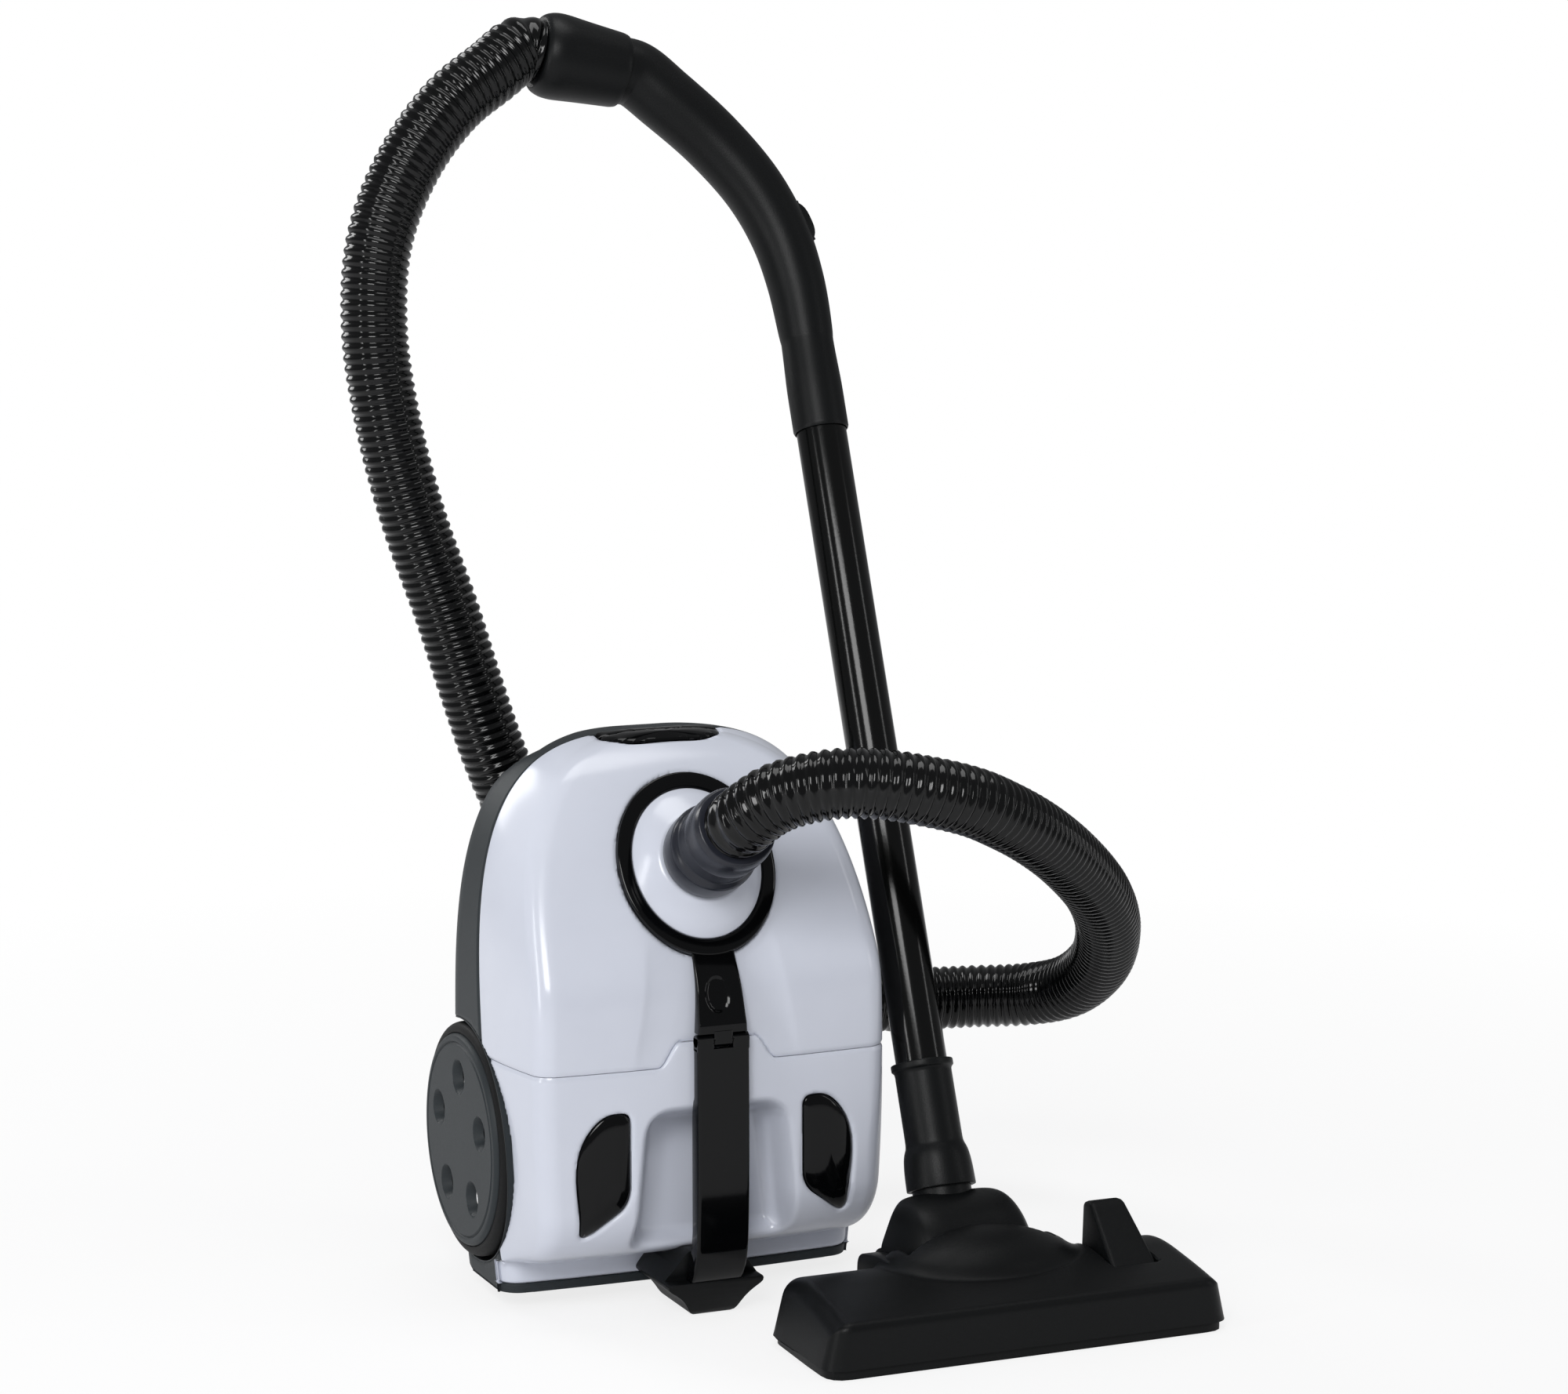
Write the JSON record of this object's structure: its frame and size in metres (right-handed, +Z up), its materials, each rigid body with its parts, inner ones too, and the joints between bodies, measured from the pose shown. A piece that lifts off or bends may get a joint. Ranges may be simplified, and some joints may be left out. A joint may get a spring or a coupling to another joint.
{
  "type": "canister vacuum cleaner",
  "caption": "Upright-parked canister vacuum cleaner with opening lid, carry handle, large side wheels, ribbed hose, curved grip, wand and pivoting floor tool.",
  "frame": {"origin": "on the floor, middle of the front foot's sole under the carry handle", "axes": "+X to the object's right seen from the front, -Y out of the top cover (front), +Z up"},
  "size_m": [0.5012, 0.4367, 0.7957],
  "materials": {
    "white_gloss": "gloss injection-moulded ABS, cool white",
    "charcoal_matte": "fine-textured charcoal ABS",
    "black_gloss": "high-gloss black ABS",
    "black_matte": "satin black polypropylene",
    "cuff_grey": "semi-gloss dark blue-grey ABS",
    "tube_black": "gloss black powder-coated steel tube",
    "rubber_black": "moulded black rubber",
    "steel": "bright drawn steel pin",
    "paper": "non-woven filter paper and card",
    "foam": "open-cell filter foam",
    "motor_grey": "glass-filled nylon motor casing",
    "bristle": "nylon bristle strip"
  },
  "bodies": {
    "canister": {"chassis": "charcoal_matte", "rear_cover": "white_gloss", "carry_handle": "black_gloss", "front_foot": "black_matte", "rear_foot_left": "rubber_black", "rear_foot_right": "rubber_black", "wheel_axle_left": "steel", "wheel_axle_right": "steel", "motor_unit": "motor_grey", "motor_mount": "rubber_black", "motor_filter": "foam", "dust_bag": "paper", "bag_collar": "paper", "bag_holder": "charcoal_matte", "lid_seal": "rubber_black", "reel_axle": "steel", "reel_bracket": "charcoal_matte", "cord_gland": "black_matte", "exhaust_grille": "charcoal_matte", "exhaust_filter": "foam", "hose": "black_gloss", "grip": "black_matte", "wand_tube": "tube_black", "neck_sleeve": "black_matte"},
    "lid": {"lid": "white_gloss", "lid_trim": "black_gloss"},
    "latch": {"lid_latch": "black_gloss"},
    "connector": {"hose_connector": "cuff_grey"},
    "power_pedal": {"power_pedal": "black_gloss"},
    "rewind_pedal": {"rewind_pedal": "black_gloss"},
    "left_wheel": {"wheel_left": "charcoal_matte", "tyre_left": "rubber_black"},
    "right_wheel": {"wheel_right": "charcoal_matte", "tyre_right": "rubber_black"},
    "caster": {"caster_fork": "black_matte", "caster_pin": "steel", "caster_clip": "steel"},
    "caster_roller": {"caster_wheel": "rubber_black"},
    "reel": {"cord_reel": "charcoal_matte"},
    "fan": {"motor_fan": "motor_grey"},
    "cuff": {"hose_cuff": "black_matte"},
    "slider": {"suction_slider": "black_matte"},
    "neck": {"neck_hood": "black_matte"},
    "floor_tool": {"tool_body": "black_matte", "tool_sole": "black_matte"},
    "tool_pedal": {"brush_pedal": "black_matte"},
    "tool_brush": {"brush_bar": "bristle"},
    "left_tool_wheel": {"tool_wheel_left": "rubber_black"},
    "right_tool_wheel": {"tool_wheel_right": "rubber_black"}
  },
  "joints": [
    {"name": "lid_hinge", "type": "hinge", "parent": "canister", "child": "lid", "pos_m": [0, -0.039, 0.176], "axis": [1, 0, 0], "range_deg": [0, 60], "deforming": ["hose"]},
    {"name": "latch_press", "type": "slide", "parent": "lid", "child": "latch", "axis": [0, 0, -1], "range_m": [0, 0.003], "stiffness_N_per_m": 900},
    {"name": "connector_swivel", "type": "hinge", "parent": "lid", "child": "connector", "pos_m": [0, 0, 0.278], "axis": [0, -0.887, 0.4617], "continuous": true},
    {"name": "power_pedal_press", "type": "slide", "parent": "canister", "child": "power_pedal", "axis": [0, 1, 0], "range_m": [0, 0.004], "stiffness_N_per_m": 1200},
    {"name": "rewind_pedal_press", "type": "slide", "parent": "canister", "child": "rewind_pedal", "axis": [0, 1, 0], "range_m": [0, 0.004], "stiffness_N_per_m": 1200},
    {"name": "left_wheel_roll", "type": "hinge", "parent": "canister", "child": "left_wheel", "pos_m": [0, 0.08, 0.0985], "axis": [1, 0, 0], "continuous": true},
    {"name": "right_wheel_roll", "type": "hinge", "parent": "canister", "child": "right_wheel", "pos_m": [0, 0.08, 0.0985], "axis": [1, 0, 0], "continuous": true},
    {"name": "caster_swivel", "type": "hinge", "parent": "canister", "child": "caster", "pos_m": [0, 0.1, 0.292], "axis": [0, 1, 0], "continuous": true},
    {"name": "caster_roll", "type": "hinge", "parent": "caster", "child": "caster_roller", "pos_m": [0, 0.133, 0.283], "axis": [1, 0, 0], "continuous": true},
    {"name": "cord_reel_turn", "type": "hinge", "parent": "canister", "child": "reel", "pos_m": [0, 0.06, 0.0985], "axis": [1, 0, 0], "continuous": true},
    {"name": "fan_spin", "type": "hinge", "parent": "canister", "child": "fan", "pos_m": [0.038, 0.056, 0.145], "axis": [0, 0, 1], "continuous": true},
    {"name": "hose_cuff_swivel", "type": "hinge", "parent": "canister", "child": "cuff", "pos_m": [0.036, 0.226, 0.7595], "axis": [-0.9794, 0.0201, 0.2009], "continuous": true},
    {"name": "suction_slide", "type": "slide", "parent": "canister", "child": "slider", "axis": [-0.3209, 0.3111, 0.8946], "range_m": [0, 0.012]},
    {"name": "neck_swivel", "type": "hinge", "parent": "canister", "child": "neck", "pos_m": [0.1415, -0.0716, 0.028], "axis": [0, 0.3762, 0.9265], "range_deg": [-10, 90]},
    {"name": "neck_pitch", "type": "hinge", "parent": "neck", "child": "floor_tool", "pos_m": [0.1415, -0.0716, 0.028], "axis": [1, 0, 0], "range_deg": [-10, 55]},
    {"name": "brush_pedal_rock", "type": "hinge", "parent": "floor_tool", "child": "tool_pedal", "pos_m": [0.228, -0.118, 0.034], "axis": [1, 0, 0], "range_deg": [-14, 0]},
    {"name": "brush_drop", "type": "slide", "parent": "floor_tool", "child": "tool_brush", "axis": [0, 0, -1], "range_m": [0, 0.0025]},
    {"name": "left_tool_wheel_roll", "type": "hinge", "parent": "floor_tool", "child": "left_tool_wheel", "pos_m": [0.044, -0.104, 0.01], "axis": [1, 0, 0], "continuous": true},
    {"name": "right_tool_wheel_roll", "type": "hinge", "parent": "floor_tool", "child": "right_tool_wheel", "pos_m": [0.24, -0.104, 0.01], "axis": [1, 0, 0], "continuous": true}
  ],
  "couplings": [
    {"joint": "brush_drop", "follows": "brush_pedal_rock", "m_per_rad": -0.010231}
  ]
}
